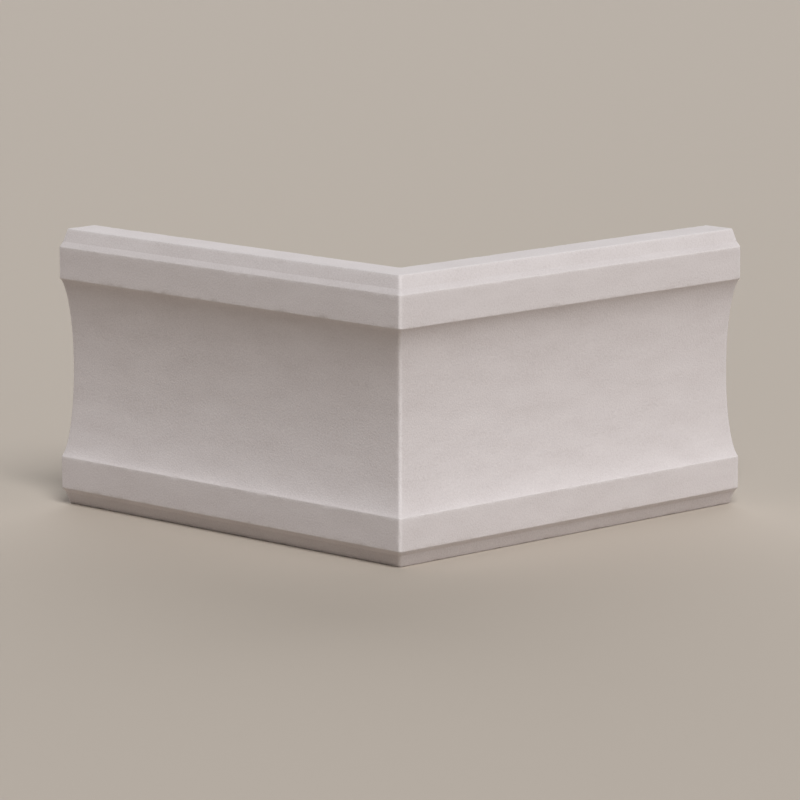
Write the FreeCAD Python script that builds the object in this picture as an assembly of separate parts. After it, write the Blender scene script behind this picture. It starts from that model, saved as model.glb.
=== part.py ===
import FreeCAD, Part
import math
import os

# Moulded corner quoin: one white stone, whose two legs wrap an outside corner.
# Millimetres, +Z up. The origin is under the middle of the stone's box, on the floor.
# The outer corner points to -X -Y, and the two legs run from it along +X and +Y.

# Overall size
LEG_LENGTH = 500.0
LEG_THICKNESS = 50.0
HEIGHT = 290.0

# Moulded face, alike from either bed towards the middle:
# a battered margin, a wash that slopes out from it, a flat band, and the cove between the bands
MARGIN_HEIGHT = 13.0
MARGIN_BATTER = 6.5
WASH_HEIGHT = 5.0
WASH_DEPTH = 5.0
BAND_HEIGHT = 33.5
COVE_DEPTH = 18.0
# The centre of the cove's ellipse stands this far in front of the bands, so that it meets them at a slant
COVE_CENTRE_OUT = 4.0

# Easing of every arris that shows
ARRIS_RADIUS = 2.0

# Closeness at which an edge counts as lying at a level or on a face
TOLERANCE = 0.01

# Corner style of a sweep that cuts a sharp mitre
MITRE = 1


def section_point(depth, height):
    """Point of the section, which stands across the end of the leg along X."""
    return FreeCAD.Vector(LEG_LENGTH, depth, height)


def lower_outline():
    """Corners of the section from its back along the lower bed and up the face to the cove."""
    band_foot = MARGIN_HEIGHT + WASH_HEIGHT
    return [
        section_point(LEG_THICKNESS, 0.0),
        section_point(WASH_DEPTH + MARGIN_BATTER, 0.0),
        section_point(WASH_DEPTH, MARGIN_HEIGHT),
        section_point(0.0, band_foot),
        section_point(0.0, band_foot + BAND_HEIGHT),
    ]


def cove(foot):
    """Hollow curve between the bands, an arc of an ellipse from its foot on the lower band."""
    mid_height = HEIGHT / 2
    reach = COVE_CENTRE_OUT + COVE_DEPTH
    start = math.asin(COVE_CENTRE_OUT / reach)
    rise = (mid_height - foot.z) / math.cos(start)
    centre = section_point(-COVE_CENTRE_OUT, mid_height)
    lowest = section_point(-COVE_CENTRE_OUT, mid_height - rise)
    deepest = section_point(COVE_DEPTH, mid_height)
    return Part.ArcOfEllipse(Part.Ellipse(lowest, deepest, centre), start, math.pi - start).toShape()


def section():
    """Closed section of a leg, the upper half a mirror image of the lower."""
    lower = lower_outline()
    upper = [section_point(point.y, HEIGHT - point.z) for point in reversed(lower)]
    back = Part.makeLine(upper[-1], lower[0])
    edges = Part.makePolygon(lower).Edges + [cove(lower[-1])]
    edges += Part.makePolygon(upper).Edges + [back]
    return Part.Wire(edges)


def face_line():
    """Line of the bands in plan: in along one leg, round the outer corner, out along the other."""
    return Part.makePolygon([
        FreeCAD.Vector(LEG_LENGTH, 0.0, 0.0),
        FreeCAD.Vector(0.0, 0.0, 0.0),
        FreeCAD.Vector(0.0, LEG_LENGTH, 0.0),
    ])


def is_on_back(edge):
    """Whether an edge bounds one of the two flat faces at the back."""
    box = edge.BoundBox
    return min(box.XMin, box.YMin) > LEG_THICKNESS - TOLERANCE


def is_inner_corner(edge):
    """Whether an edge is the hollow corner between a margin and its wash."""
    box = edge.BoundBox
    is_level = box.ZLength < TOLERANCE
    from_bed = min(box.ZMin, HEIGHT - box.ZMax)
    return is_level and abs(from_bed - MARGIN_HEIGHT) < TOLERANCE


def quoin_stone():
    """The whole stone: the section run round the corner with a mitre, its arrises eased."""
    run = face_line().makePipeShell([section()], True, False, MITRE).removeSplitter()
    arrises = [edge for edge in run.Edges if not is_on_back(edge) and not is_inner_corner(edge)]
    stone = run.makeFillet(ARRIS_RADIUS, arrises).Solids[0]
    stone.translate(FreeCAD.Vector(-LEG_LENGTH / 2, -LEG_LENGTH / 2, 0.0))
    return stone


os.makedirs("parts", exist_ok=True)
quoin_stone().exportStep("parts/quoin_stone.step")
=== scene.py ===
"""Studio view of a moulded stone quoin: an L-shaped corner stone with a coved face and a sharp mitre."""

import logging
import math
from dataclasses import dataclass
from enum import Enum
from typing import Any

import bmesh
import bpy
from bmesh.types import BMEdge, BMesh, BMVert
from bpy.types import Material, Node, NodeSocket, NodeTree, Object
from mathutils import Matrix, Vector, noise

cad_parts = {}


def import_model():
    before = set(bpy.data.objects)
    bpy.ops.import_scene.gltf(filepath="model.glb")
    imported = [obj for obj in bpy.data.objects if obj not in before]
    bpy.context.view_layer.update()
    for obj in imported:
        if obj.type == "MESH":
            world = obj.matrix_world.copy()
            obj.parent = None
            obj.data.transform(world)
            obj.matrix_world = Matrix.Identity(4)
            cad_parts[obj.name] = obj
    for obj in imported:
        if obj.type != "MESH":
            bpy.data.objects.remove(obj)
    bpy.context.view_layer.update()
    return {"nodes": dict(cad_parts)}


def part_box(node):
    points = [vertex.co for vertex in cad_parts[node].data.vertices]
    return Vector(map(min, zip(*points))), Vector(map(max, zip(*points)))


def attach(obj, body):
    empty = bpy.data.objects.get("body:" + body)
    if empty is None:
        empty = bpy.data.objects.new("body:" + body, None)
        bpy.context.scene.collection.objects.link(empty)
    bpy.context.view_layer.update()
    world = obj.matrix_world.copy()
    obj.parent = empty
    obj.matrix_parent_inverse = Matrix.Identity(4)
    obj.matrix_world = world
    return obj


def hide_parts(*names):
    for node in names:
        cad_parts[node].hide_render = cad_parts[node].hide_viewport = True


LOG = logging.getLogger("quoin")
MM = 0.001

# Points closer together than this are merged
MERGE_DISTANCE = 0.001 * MM

# Half of the right angle between the legs
MITRE_ANGLE = math.radians(45)

# Vertex attribute that tells the finish how much a point stands out
ARRIS_ATTRIBUTE = "arris"


class Surface(Enum):
    """The two kinds of surface on the stone, numbered as its material slots are."""

    MOULDED = 0
    STRUCK = 1


class Tone(Enum):
    """Places of the stone's colours on its scale of tones, from the darkest to the palest."""

    # The darkest stop is painted shade down in the pin holes
    HOLE = 0.0
    SHADE = 0.3
    BODY = 0.5
    PALE = 0.8


def to_linear(hex_colour: str) -> tuple[float, float, float, float]:
    """Turns an sRGB hex colour into the linear colour that shaders use.

    Args:
        hex_colour: Six hex digits after a hash sign.

    Returns:
        Linear red, green and blue, and an alpha of 1.
    """
    channels = [int(hex_colour[i:i + 2], 16) / 255 for i in (1, 3, 5)]
    # The sRGB curve is a straight toe and then a power
    linear = [c / 12.92 if c <= 0.04045 else ((c + 0.055) / 1.055) ** 2.4 for c in channels]
    return (*linear, 1.0)


def add_node(tree: NodeTree, kind: str, values: dict[str | int, Any] | None = None,
             links: dict[str | int, NodeSocket] | None = None, **settings: Any) -> Node:
    """Adds one node to a tree with its settings and links.

    Args:
        tree: The tree that gets the node.
        kind: Blender's own name for the type of node.
        values: Constants by the name or number of the input that they go to.
        links: Output sockets by the name or number of the input that they feed.
        **settings: The node's own properties.

    Returns:
        The new node.
    """
    node = tree.nodes.new(kind)
    for name, setting in settings.items():
        setattr(node, name, setting)
    for socket, value in (values or {}).items():
        node.inputs[socket].default_value = value
    for socket, output in (links or {}).items():
        tree.links.new(output, node.inputs[socket])
    return node


@dataclass(frozen=True)
class CastStone:
    """Fine white cast stone: crushed limestone and white cement, vibrated in a mould and lightly etched.

    The mould gives flat, crisp faces. The etch takes off the cement skin, so the eye sees a dead
    matt surface with fine sand in it, faint level streaks from the mix, and a few pin holes left by air,
    darkened inside with painted shade. Handling rubs the arrises, and a painted highlight is laid
    along them too, so that they show as thin pale lines.

    Attributes:
        name: Name of the material.
        body: Colour of the stone.
        pale: Colour of the palest grains.
        shade: Colour of the darker grains and streaks.
        hole: Painted shade down in a pin hole: a darker colour that stands in for its shadow.
        rubbed_and_highlight: Colour of the arrises, pale partly from wear and partly as a painted
            highlight.
        roughness: Roughness of the surface.
        sand_mm: Width of a sand grain. Real sand is half as wide, too fine to show in the render.
        sand_share: How much the sand grains differ in tone.
        relief_mm: Height of the sand grains.
        streak_mm: Length and height of the faint streaks that the mix leaves as it fills the mould.
        hole_spacing_mm: Spacing of the air bubbles in the stone.
        hole_share: Share of the bubbles at the surface that leave a hole.
        hole_mm: Radius of the largest holes.
        hole_tone: How far the painted shade in a hole lowers the tone.
        hole_depth: Depth of a hole, in heights of a sand grain.
        streak_share: How much the streaks differ in tone.
        sand_detail: Number of finer layers in the pattern of the sand.
        streak_detail: Number of finer layers in the pattern of the streaks.
        rub_and_highlight_start: Height on a sand grain, from 0 to 1, above which a sharp arris starts to
            turn pale, from wear and painted highlight.
        rub_and_highlight_full: Height on a sand grain above which the arris is fully pale.
        ior: Index of refraction of the stone.
        gloss: Level of reflection at the surface. The etch leaves half of a smooth stone's.
    """

    name: str
    body: str
    pale: str
    shade: str
    hole: str
    rubbed_and_highlight: str
    roughness: float
    sand_mm: float
    sand_share: float
    relief_mm: float
    streak_mm: tuple[float, float]
    hole_spacing_mm: float
    hole_share: float
    hole_mm: float
    hole_tone: float = 0.5
    hole_depth: float = 2.0
    streak_share: float = 0.3
    sand_detail: float = 2.0
    streak_detail: float = 3.0
    rub_and_highlight_start: float = 0.1
    rub_and_highlight_full: float = 0.6
    ior: float = 1.5
    gloss: float = 0.25

    def material(self) -> Material:
        """Makes the material.

        Returns:
            The finished material.
        """
        material = bpy.data.materials.new(self.name)
        material.use_nodes = True
        tree = material.node_tree
        tree.nodes.clear()
        place = add_node(tree, "ShaderNodeTexCoord").outputs["Object"]
        sand, streaks = self._mix(tree, place)
        holes = self._pin_holes(tree, place)
        tone = self._tone(tree, sand, streaks, holes)
        colour = self._rub_and_highlight(tree, self._colour(tree, tone), sand)
        relief = add_node(tree, "ShaderNodeMath", {1: -self.hole_depth}, {0: holes, 2: sand},
                          operation="MULTIPLY_ADD")
        bump = add_node(tree, "ShaderNodeBump", {"Strength": 1.0, "Distance": self.relief_mm * MM},
                        {"Height": relief.outputs[0]})
        stone = add_node(tree, "ShaderNodeBsdfPrincipled",
                         {"Roughness": self.roughness, "IOR": self.ior, "Specular IOR Level": self.gloss},
                         {"Base Color": colour, "Normal": bump.outputs[0]})
        add_node(tree, "ShaderNodeOutputMaterial", None, {"Surface": stone.outputs[0]})
        return material

    def _mix(self, tree: NodeTree, place: NodeSocket) -> list[NodeSocket]:
        """Makes the two patterns that the mix leaves, each from 0 to 1.

        Args:
            tree: The material's nodes.
            place: Point of the stone.

        Returns:
            The sand and the streaks.
        """
        grain_mm = (self.sand_mm, self.sand_mm)
        patterns = []
        for size_mm, detail in ((grain_mm, self.sand_detail), (self.streak_mm, self.streak_detail)):
            length, height = (1 / (size * MM) for size in size_mm)
            sized = add_node(tree, "ShaderNodeMapping", {"Scale": (length, length, height)},
                             {"Vector": place})
            pattern = add_node(tree, "ShaderNodeTexNoise", {"Scale": 1.0, "Detail": detail},
                               {"Vector": sized.outputs[0]})
            patterns.append(pattern.outputs[0])
        return patterns

    def _pin_holes(self, tree: NodeTree, place: NodeSocket) -> NodeSocket:
        """Makes the pin holes, which are round and of many sizes.

        Args:
            tree: The material's nodes.
            place: Point of the stone.

        Returns:
            Depth in the holes: 1 in the middle of the largest, 0 between them.
        """
        bubbles = add_node(tree, "ShaderNodeTexVoronoi", {"Scale": 1 / (self.hole_spacing_mm * MM)},
                           {"Vector": place})
        luck = add_node(tree, "ShaderNodeSeparateColor", None, {0: bubbles.outputs["Color"]})
        size = add_node(tree, "ShaderNodeMapRange", {"From Min": 1.0 - self.hole_share},
                        {0: luck.outputs[0]})
        depth = add_node(tree, "ShaderNodeMath", {1: -self.hole_spacing_mm / self.hole_mm},
                         {0: bubbles.outputs["Distance"], 2: size.outputs[0]},
                         operation="MULTIPLY_ADD", use_clamp=True)
        return depth.outputs[0]

    def _tone(self, tree: NodeTree, sand: NodeSocket, streaks: NodeSocket,
              holes: NodeSocket) -> NodeSocket:
        """Adds up what makes the stone paler or darker.

        Args:
            tree: The material's nodes.
            sand: Pattern of the sand.
            streaks: Pattern of the streaks.
            holes: Depth in the pin holes.

        Returns:
            The tone, which is that of the body on average.
        """
        # Sand and streaks are both 0.5 on average
        start = Tone.BODY.value - (self.sand_share + self.streak_share) / 2
        tone = add_node(tree, "ShaderNodeMath", {1: self.sand_share, 2: start}, {0: sand},
                        operation="MULTIPLY_ADD")
        # A pin hole lowers the tone towards the hole colour, which is painted shade
        for pattern, share in ((streaks, self.streak_share), (holes, -self.hole_tone)):
            tone = add_node(tree, "ShaderNodeMath", {1: share}, {0: pattern, 2: tone.outputs[0]},
                            operation="MULTIPLY_ADD")
        return tone.outputs[0]

    def _colour(self, tree: NodeTree, tone: NodeSocket) -> NodeSocket:
        """Turns a tone into a colour of the stone.

        Args:
            tree: The material's nodes.
            tone: The tone.

        Returns:
            The colour.
        """
        colours = {Tone.HOLE: self.hole, Tone.SHADE: self.shade, Tone.BODY: self.body,
                   Tone.PALE: self.pale}
        ramp = add_node(tree, "ShaderNodeValToRGB", None, {0: tone})
        elements = ramp.color_ramp.elements
        for stop in list(colours)[len(elements):]:
            elements.new(stop.value)
        for element, (stop, colour) in zip(elements, colours.items()):
            element.position = stop.value
            element.color = to_linear(colour)
        return ramp.outputs[0]

    def _rub_and_highlight(self, tree: NodeTree, colour: NodeSocket, sand: NodeSocket) -> NodeSocket:
        """Lightens the arrises: partly wear down to the stone's grains, partly a painted highlight.

        Args:
            tree: The material's nodes.
            colour: Colour of the stone.
            sand: Pattern of the sand.

        Returns:
            The colour with pale arrises, from wear and painted highlight.
        """
        arris = add_node(tree, "ShaderNodeAttribute", attribute_name=ARRIS_ATTRIBUTE)
        grain = add_node(tree, "ShaderNodeMath", None, {0: arris.outputs["Fac"], 1: sand},
                         operation="MULTIPLY")
        share = add_node(tree, "ShaderNodeMapRange",
                         {"From Min": self.rub_and_highlight_start, "From Max": self.rub_and_highlight_full}, {0: grain.outputs[0]})
        # The pale arris colour is partly wear and partly a painted highlight along the edges
        rubbed_and_highlight = add_node(tree, "ShaderNodeMix", {"B": to_linear(self.rubbed_and_highlight)},
                          {"Factor": share.outputs[0], "A": colour}, data_type="RGBA")
        return rubbed_and_highlight.outputs["Result"]


class OutlinePen:
    """Draws an open outline of the stone's section, corner by corner, in a bmesh.

    The section stands across a leg along X: depth runs along Y and height along Z.
    """

    def __init__(self, bm: BMesh, start: Vector, spacing: float, radius: float, steps: int) -> None:
        """Puts the pen down.

        Args:
            bm: The bmesh that gets the outline.
            start: First point of the outline.
            spacing: Greatest length of an edge on a straight stretch.
            radius: Radius of the round at a corner.
            steps: Number of edges in that round.
        """
        self.bm = bm
        self.spacing = spacing
        self.radius = radius
        self.steps = steps
        self.tip = bm.verts.new(start)

    def line_to(self, point: Vector, spacing: float | None = None) -> None:
        """Draws a straight stretch, cut into even edges.

        Args:
            point: Where the stretch ends.
            spacing: Greatest length of its edges, if not the pen's own.
        """
        stretch = point - self.tip.co
        edges = math.ceil(stretch.length / (spacing or self.spacing))
        for _ in range(edges):
            self.tip = bmesh.ops.extrude_vert_indiv(self.bm, verts=[self.tip])["verts"][0]
            self.tip.co += stretch / edges

    def corner(self, corner: Vector, ahead: Vector, spacing: float | None = None) -> None:
        """Draws up to a corner and round it.

        Args:
            corner: The corner as it would be if it were sharp.
            ahead: A point that the outline heads for after the corner.
            spacing: Greatest length of the edges before it, if not the pen's own.
        """
        before = (corner - self.tip.co).normalized()
        after = (ahead - corner).normalized()
        turn = before.angle(after)
        axis = before.cross(after).normalized()
        foot = corner - before * (self.radius * math.tan(turn / 2))
        self.line_to(foot, spacing)
        self.arc(foot + axis.cross(before) * self.radius, axis, turn, self.steps)

    def arc(self, centre: Vector, axis: Vector, angle: float, steps: int) -> list[BMVert]:
        """Draws an arc from the tip.

        Args:
            centre: Centre of the arc.
            axis: Axis that it turns about.
            angle: Angle that it turns through.
            steps: Number of edges.

        Returns:
            The vertices of the arc after its first.
        """
        known = set(self.bm.verts)
        spun = bmesh.ops.spin(self.bm, geom=[self.tip], cent=centre, axis=axis, angle=angle, steps=steps)
        self.tip = next(v for v in spun["geom_last"] if isinstance(v, BMVert))
        return [v for v in self.bm.verts if v not in known]


@dataclass
class QuoinStone:
    """One moulded corner stone: two equal legs, mitred at the outer arris.

    Attributes:
        low: Lowest corner of the stone's box.
        high: Highest corner of the stone's box.
        leg_thickness: From the bands to the back.
        margin_height: Height of the battered margin beside each bed.
        margin_batter: How far the margin leans back.
        wash_height: Height of the slope between a margin and its band.
        wash_depth: Depth of that slope.
        band_height: Height of each flat band.
        cove_depth: Depth of the cove between the bands.
        cove_centre_out: How far in front of the bands the cove's ellipse has its centre.
        lip_angle: Angle of the cove's curve, in radians, that its eased lip takes up.
        arris_radius: Easing of the arrises of the face.
        mitre_radius: Easing of the outer arris, and of the hollow corner behind it.
        end_easing: Easing of the edges round the leg ends.
        end_rim: Flat rim inside that easing, which keeps the shading of the ends flat.
        crease_angle: Bend, in radians, above which a hollow edge is shaded as sharp.
        spacing: Greatest edge length of the mesh on the face.
        back_spacing: Greatest edge length of the mesh up the back.
        cove_steps: Edges from one end of the cove to its middle.
        round_steps: Edges round an arris.
        waver: Depth of the slow unevenness of the moulded faces.
        waver_width: Width of one wave of it.
        nibble: Depth of the deepest nibbles along the arrises.
        nibble_width: Length of a nibble.
        arris_gain: Factor on the fall of the surface round a point, which brings an arris to 1.
        drag: Depth of the marks that the straightedge left on the back.
        drag_size: Length and height of such a mark.
    """

    low: Vector
    high: Vector
    leg_thickness: float = 50 * MM
    margin_height: float = 13 * MM
    margin_batter: float = 6.5 * MM
    wash_height: float = 5 * MM
    wash_depth: float = 5 * MM
    band_height: float = 33.5 * MM
    cove_depth: float = 18 * MM
    cove_centre_out: float = 4 * MM
    lip_angle: float = math.radians(2.5)
    arris_radius: float = 2 * MM
    mitre_radius: float = 3 * MM
    end_easing: float = 1.5 * MM
    end_rim: float = 0.3 * MM
    crease_angle: float = math.radians(12)
    spacing: float = 3 * MM
    back_spacing: float = 6 * MM
    cove_steps: int = 40
    round_steps: int = 4
    waver: float = 0.15 * MM
    waver_width: float = 60 * MM
    nibble: float = 0.5 * MM
    nibble_width: float = 9 * MM
    arris_gain: float = 20.0
    drag: float = 0.7 * MM
    drag_size: tuple[float, float] = (90 * MM, 16 * MM)

    def build(self) -> Object:
        """Models the stone.

        Returns:
            The stone's object, at the origin.
        """
        bm = bmesh.new()
        outline = self._section(bm)
        rim = self._close_end(bm, outline)
        self._run_leg(bm, rim)
        self._add_other_leg(bm)
        self._mark_surfaces(bm)
        self._weather(bm)
        mesh = bpy.data.meshes.new("quoin_stone_body")
        bm.to_mesh(mesh)
        bm.free()
        stone = bpy.data.objects.new("quoin_stone_body", mesh)
        bpy.context.scene.collection.objects.link(stone)
        return stone

    def dress(self, stone: Object, finishes: dict[Surface, CastStone]) -> None:
        """Gives the stone its finishes, and its place in the frame.

        Args:
            stone: The stone's object.
            finishes: The finish of each kind of surface.
        """
        for surface in Surface:
            stone.data.materials.append(finishes[surface].material())
        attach(stone, "root")
        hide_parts("quoin_stone")

    def _at(self, depth: float, height: float) -> Vector:
        """Point of the section where the end of the leg along X starts to round off."""
        return Vector((self.high.x - self.end_easing, self.low.y + depth, self.low.z + height))

    def _section(self, bm: BMesh) -> list[BMEdge]:
        """Draws the closed section, the lower half first and the upper half as its mirror image.

        Args:
            bm: The empty bmesh that gets the section.

        Returns:
            The edges of the section.
        """
        middle = (self.high.z - self.low.z) / 2
        band_foot = self.margin_height + self.wash_height
        heel = self._at(self.leg_thickness, 0.0)
        bed_edge = self._at(self.wash_depth + self.margin_batter, 0.0)
        quirk = self._at(self.wash_depth, self.margin_height)
        shoulder = self._at(0.0, band_foot)
        nose = self._at(0.0, band_foot + self.band_height)
        pen = OutlinePen(bm, self._at(self.leg_thickness, middle), self.spacing, self.arris_radius,
                         self.round_steps)
        pen.corner(heel, bed_edge, self.back_spacing)
        pen.corner(bed_edge, quirk)
        pen.line_to(quirk)
        pen.corner(shoulder, nose)
        self._draw_cove(bm, pen, nose, self._at(-self.cove_centre_out, middle))
        bmesh.ops.mirror(bm, geom=bm.verts[:] + bm.edges[:], axis="Z",
                         matrix=Matrix.Translation(-self._at(0.0, middle)))
        bmesh.ops.remove_doubles(bm, verts=bm.verts, dist=MERGE_DISTANCE)
        return bm.edges[:]

    def _draw_cove(self, bm: BMesh, pen: OutlinePen, nose: Vector, centre: Vector) -> None:
        """Draws half of the cove: its eased lip, and the arc of a circle squashed to an ellipse.

        Args:
            bm: The bmesh that gets the section.
            pen: The pen, on the lower band.
            nose: Upper edge of that band as it would be if it were sharp.
            centre: Centre of the ellipse.
        """
        reach = self.cove_centre_out + self.cove_depth
        start = math.asin(self.cove_centre_out / reach)
        rise = (centre.z - nose.z) / math.cos(start)
        lip_angle = start + self.lip_angle
        lip = centre + Vector((0.0, reach * math.sin(lip_angle), -rise * math.cos(lip_angle)))
        pen.corner(nose, lip)
        pen.line_to(lip)
        # The arc is drawn on a circle as high as the ellipse, so the lip moves to that circle first
        curve = [pen.tip]
        about = Matrix.Translation(-centre)
        bmesh.ops.scale(bm, verts=curve, vec=(1, rise / reach, 1), space=about)
        curve += pen.arc(centre, Vector((1, 0, 0)), math.pi / 2 - lip_angle, self.cove_steps)
        bmesh.ops.scale(bm, verts=curve, vec=(1, reach / rise, 1), space=about)

    def _close_end(self, bm: BMesh, outline: list[BMEdge]) -> list[BMEdge]:
        """Closes the leg's end with a flat face and rounds the edges of that face.

        Args:
            bm: The bmesh that holds the section.
            outline: The edges of the section.

        Returns:
            The rim from which the leg runs.
        """
        end = bmesh.ops.contextual_create(bm, geom=outline)["faces"]
        end[0].normal_update()
        if end[0].normal.x < 0:
            bmesh.ops.reverse_faces(bm, faces=end)
        angles = [math.pi / 2 * step / self.round_steps for step in range(self.round_steps + 1)]
        for angle, wider in zip(angles, angles[1:]):
            bmesh.ops.inset_region(bm, faces=end, use_boundary=True, use_even_offset=True,
                                   thickness=self.end_easing * (math.cos(angle) - math.cos(wider)),
                                   depth=self.end_easing * (math.sin(wider) - math.sin(angle)))
        bmesh.ops.inset_region(bm, faces=end, use_boundary=True, use_even_offset=True,
                               thickness=self.end_rim)
        return [e for e in bm.edges if e.is_boundary]

    def _run_leg(self, bm: BMesh, rim: list[BMEdge]) -> None:
        """Runs the section along X, and round the outer arris as far as the mitre.

        Args:
            bm: The bmesh that holds the leg's end.
            rim: The rim of that end.
        """
        angles = [MITRE_ANGLE * step / self.round_steps for step in range(self.round_steps + 1)]
        # How far the rings stand off the mitre plane, from the start of the easing to the arris
        easing = [Vector((1 - math.sin(a), 1 - math.cos(a), 0)) * self.mitre_radius for a in angles]
        # Takes each point along the leg to the mitre plane, where X equals Y
        onto_mitre = Matrix(((0, 1, 0, 0), (0, 1, 0, 0), (0, 0, 1, 0), (0, 0, 0, 1)))
        known = set(bm.edges)
        ring = self._next_ring(bm, rim, Matrix.Translation(easing[0]) @ onto_mitre)
        known.update(ring)
        along = [e for e in bm.edges if e not in known]
        for here, there in zip(easing, easing[1:]):
            ring = self._next_ring(bm, ring, Matrix.Translation(there - here))
        cuts = math.ceil((self.high.x - self.low.x) / self.spacing) - 1
        bmesh.ops.subdivide_edges(bm, edges=along, cuts=cuts)

    def _next_ring(self, bm: BMesh, ring: list[BMEdge], move: Matrix) -> list[BMEdge]:
        """Extrudes a ring of edges and moves the new ring.

        Args:
            bm: The bmesh that holds the ring.
            ring: The edges to extrude.
            move: What takes the new ring to its place.

        Returns:
            The edges of the new ring.
        """
        new = bmesh.ops.extrude_edge_only(bm, edges=ring)["geom"]
        bmesh.ops.transform(bm, matrix=move, verts=[v for v in new if isinstance(v, BMVert)])
        return [e for e in new if isinstance(e, BMEdge)]

    def _add_other_leg(self, bm: BMesh) -> None:
        """Adds the leg along Y as the mirror image of the leg along X.

        Args:
            bm: The bmesh that holds the leg along X.
        """
        across = Matrix.Rotation(MITRE_ANGLE, 4, "Z")
        bmesh.ops.mirror(bm, geom=bm.verts[:] + bm.edges[:] + bm.faces[:], axis="X", matrix=across)
        bmesh.ops.remove_doubles(bm, verts=bm.verts, dist=MERGE_DISTANCE)
        bmesh.ops.recalc_face_normals(bm, faces=bm.faces)

    def _is_back(self, point: Vector) -> bool:
        """Whether a point lies on one of the two flat faces at the back."""
        return min(point.x, point.y) > self.low.x + self.leg_thickness - self.arris_radius / 2

    def _mark_surfaces(self, bm: BMesh) -> None:
        """Tells the back from the moulded faces, and keeps the hollow corners sharp.

        Args:
            bm: The bmesh that holds the whole stone.
        """
        for face in bm.faces:
            surface = Surface.STRUCK if self._is_back(face.calc_center_median()) else Surface.MOULDED
            face.material_index = surface.value
            face.smooth = True
        for edge in bm.edges:
            if edge.is_manifold and edge.calc_face_angle_signed(0.0) < -self.crease_angle:
                edge.smooth = False

    def _weather(self, bm: BMesh) -> None:
        """Makes the faces and arrises as uneven as a cast stone's, always inwards.

        Args:
            bm: The bmesh that holds the whole stone.
        """
        bm.normal_update()
        # This attribute also places the pale arris lines, partly wear and partly painted highlight
        arris = bm.verts.layers.float.new(ARRIS_ATTRIBUTE)
        for vert in bm.verts:
            vert[arris] = self._sharpness(vert)
        for vert in bm.verts:
            vert.co -= vert.normal * self._wear(vert.co, vert[arris])

    def _sharpness(self, vert: BMVert) -> float:
        """How much a point stands out: 0 on a face, 1 on an arris."""
        falls = [(e.other_vert(vert).co - vert.co).normalized().dot(vert.normal) for e in vert.link_edges]
        return min(max(-sum(falls) / len(falls) * self.arris_gain, 0.0), 1.0)

    def _wear(self, point: Vector, sharpness: float) -> float:
        """How deep the surface lies under its true place, fading out towards the flat leg ends.

        Args:
            point: The point of the surface.
            sharpness: How much it stands out.

        Returns:
            The depth.
        """
        from_end = self.high.x - max(point.x, point.y)
        wear = self.nibble * sharpness * max(noise.noise(point / self.nibble_width), 0.0)
        if self._is_back(point):
            length, height = self.drag_size
            from_edge = min(point.z - self.low.z, self.high.z - point.z, from_end)
            marks = noise.noise(Vector((point.x / length, point.y / length, point.z / height)))
            wear += self.drag * (1 + marks) / 2 * min(from_edge / height, 1.0)
        else:
            wear += self.waver * (1 + noise.noise(point / self.waver_width)) / 2
        return wear * min(from_end / self.end_easing, 1.0)


@dataclass(frozen=True)
class Softbox:
    """Large soft lamp, far enough away to light the whole floor evenly.

    Attributes:
        name: Name of the lamp.
        strength: Strength of its light, in watts per square metre.
        spread: Angle that it fills as the stone sees it, in degrees.
        azimuth: Where it stands round the stone, in degrees, 0 along -Y and 90 along +X.
        elevation: How high it stands, in degrees.
    """

    name: str
    strength: float
    spread: float
    azimuth: float
    elevation: float

    def build(self) -> None:
        """Makes the lamp."""
        lamp = bpy.data.lights.new(self.name, "SUN")
        lamp.energy = self.strength
        lamp.angle = math.radians(self.spread)
        softbox = bpy.data.objects.new(self.name, lamp)
        azimuth = math.radians(self.azimuth)
        elevation = math.radians(self.elevation)
        level = Vector((math.sin(azimuth), -math.cos(azimuth), 0.0)) * math.cos(elevation)
        towards = level + Vector((0.0, 0.0, math.sin(elevation)))
        softbox.rotation_euler = towards.to_track_quat("Z", "Y").to_euler()
        bpy.context.scene.collection.objects.link(softbox)


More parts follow.
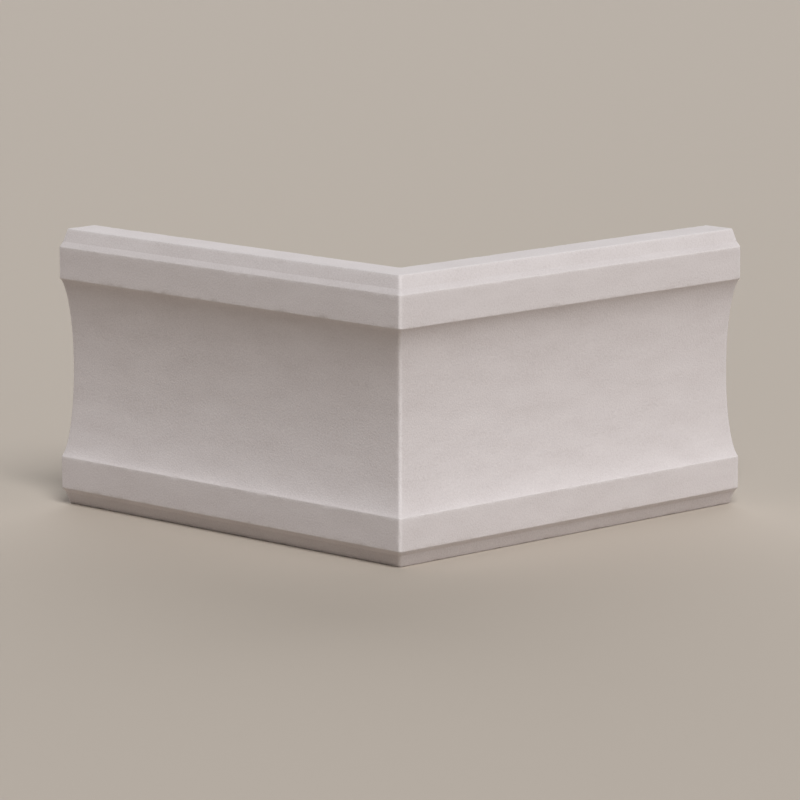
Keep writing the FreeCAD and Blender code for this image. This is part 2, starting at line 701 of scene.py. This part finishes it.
@dataclass
class Studio:
    """Plain pale floor and soft light round the stone.

    Attributes:
        floor_radius: Radius of the floor.
        floor_segments: Edges round the floor.
        floor_colour: Colour of the floor's paint.
        floor_roughness: Roughness of the paint.
        floor_gloss: Level of reflection at the paint.
        sky_colour: Colour of the light from all round.
        sky_strength: Strength of the light from all round.
        key: The lamp that lights the moulded faces from above.
        side: The weak low lamp that lights one face more than the other.
        back: The lamp behind the stone, low so that the top doesn't glare.
    """

    floor_radius: float = 40.0
    floor_segments: int = 96
    floor_colour: str = "#bdb3a8"
    floor_roughness: float = 0.9
    floor_gloss: float = 0.2
    sky_colour: str = "#f3efee"
    sky_strength: float = 0.06
    key: Softbox = Softbox("key_softbox", strength=2.6, spread=30.0, azimuth=-32.0, elevation=50.0)
    side: Softbox = Softbox("side_softbox", strength=0.48, spread=50.0, azimuth=15.0, elevation=8.0)
    back: Softbox = Softbox("back_softbox", strength=1.9, spread=60.0, azimuth=130.0, elevation=14.0)

    def build(self) -> None:
        """Makes the floor, the sky and the lamps."""
        self._floor()
        self._sky()
        for softbox in (self.key, self.side, self.back):
            softbox.build()

    def _floor(self) -> None:
        """Makes the floor."""
        bm = bmesh.new()
        bmesh.ops.create_circle(bm, cap_ends=True, segments=self.floor_segments, radius=self.floor_radius)
        mesh = bpy.data.meshes.new("studio_floor")
        bm.to_mesh(mesh)
        bm.free()
        floor = bpy.data.objects.new("studio_floor", mesh)
        bpy.context.scene.collection.objects.link(floor)
        mesh.materials.append(self._floor_paint())

    def _floor_paint(self) -> Material:
        """Makes the floor's matt paint, which is even and takes soft shadows.

        Returns:
            The paint.
        """
        material = bpy.data.materials.new("matt_floor_paint")
        material.use_nodes = True
        shader = material.node_tree.nodes["Principled BSDF"]
        shader.inputs["Base Color"].default_value = to_linear(self.floor_colour)
        shader.inputs["Roughness"].default_value = self.floor_roughness
        shader.inputs["Specular IOR Level"].default_value = self.floor_gloss
        return material

    def _sky(self) -> None:
        """Makes the light from all round."""
        world = bpy.data.worlds.new("studio_sky")
        world.use_nodes = True
        background = world.node_tree.nodes["Background"]
        background.inputs["Color"].default_value = to_linear(self.sky_colour)
        background.inputs["Strength"].default_value = self.sky_strength
        bpy.context.scene.world = world


@dataclass
class Viewpoint:
    """Camera at the angle of the photo, with a longer lens.

    Attributes:
        arris_distance: Level distance from the outer arris, square on to the corner.
        eye_above_middle: Height of the camera above the middle of the stone.
        width_share: Share of the frame's width that the stone takes.
    """

    arris_distance: float = 5.045
    eye_above_middle: float = 0.864
    width_share: float = 0.86

    def build(self, low: Vector, high: Vector) -> None:
        """Places the camera.

        Args:
            low: Lowest corner of the stone's box.
            high: Highest corner of the stone's box.
        """
        out = Vector((-1, -1, 0)).normalized()
        middle = (low.z + high.z) / 2
        eye = Vector((low.x, low.y, middle)) + out * self.arris_distance
        eye.z += self.eye_above_middle
        half_diagonal = (high.x - low.x) / math.sqrt(2)
        far = self.arris_distance + half_diagonal
        steepest = math.atan2(eye.z - low.z, self.arris_distance)
        shallowest = math.atan2(eye.z - high.z, far)
        pitch = (steepest + shallowest) / 2
        camera = bpy.data.cameras.new("viewpoint")
        camera.lens = camera.sensor_width * self.width_share * far / (2 * half_diagonal)
        viewpoint = bpy.data.objects.new("viewpoint", camera)
        viewpoint.location = eye
        ahead = -out * math.cos(pitch) - Vector((0, 0, math.sin(pitch)))
        viewpoint.rotation_euler = ahead.to_track_quat("-Z", "Y").to_euler()
        bpy.context.scene.collection.objects.link(viewpoint)
        bpy.context.scene.camera = viewpoint


FINISHES: dict[Surface, CastStone] = {
    # The mould leaves these faces fine and nearly even
    Surface.MOULDED: CastStone(
        name="etched_cast_stone",
        # The hole colour is painted shade in the pin holes; the pale arris colour is partly a painted
        # highlight
        body="#d9d2d2", pale="#e5dfdf", shade="#cdc5c4", hole="#9d9492", rubbed_and_highlight="#e2dcdc",
        roughness=0.9, sand_mm=1.8, sand_share=0.4, relief_mm=0.28, streak_mm=(60.0, 18.0),
        hole_spacing_mm=16.0, hole_share=0.3, hole_mm=0.7),
    # The open side of the mould is struck off with a straightedge, so it is coarser, duller and pitted
    Surface.STRUCK: CastStone(
        name="struck_cast_stone",
        # The hole colour is painted shade in the pits; the pale arris colour is partly a painted
        # highlight
        body="#cfc5c1", pale="#dad1ce", shade="#bfb4af", hole="#8e837e", rubbed_and_highlight="#dbd3d0",
        roughness=0.95, sand_mm=2.6, sand_share=0.6, relief_mm=0.4, streak_mm=(70.0, 50.0),
        hole_spacing_mm=9.0, hole_share=0.8, hole_mm=2.2),
}


def main() -> None:
    """Builds the stone, the studio and the camera in order."""
    logging.basicConfig(level=logging.INFO, format="%(name)s: %(message)s")
    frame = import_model()
    LOG.info("frame holds %s", sorted(frame["nodes"]))
    low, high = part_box("quoin_stone")
    quoin = QuoinStone(low, high)
    stone = quoin.build()
    quoin.dress(stone, FINISHES)
    LOG.info("%s has %d faces", stone.name, len(stone.data.polygons))
    Studio().build()
    Viewpoint().build(low, high)
    bpy.context.scene.view_settings.view_transform = "Standard"


if __name__ == "__main__":
    main()
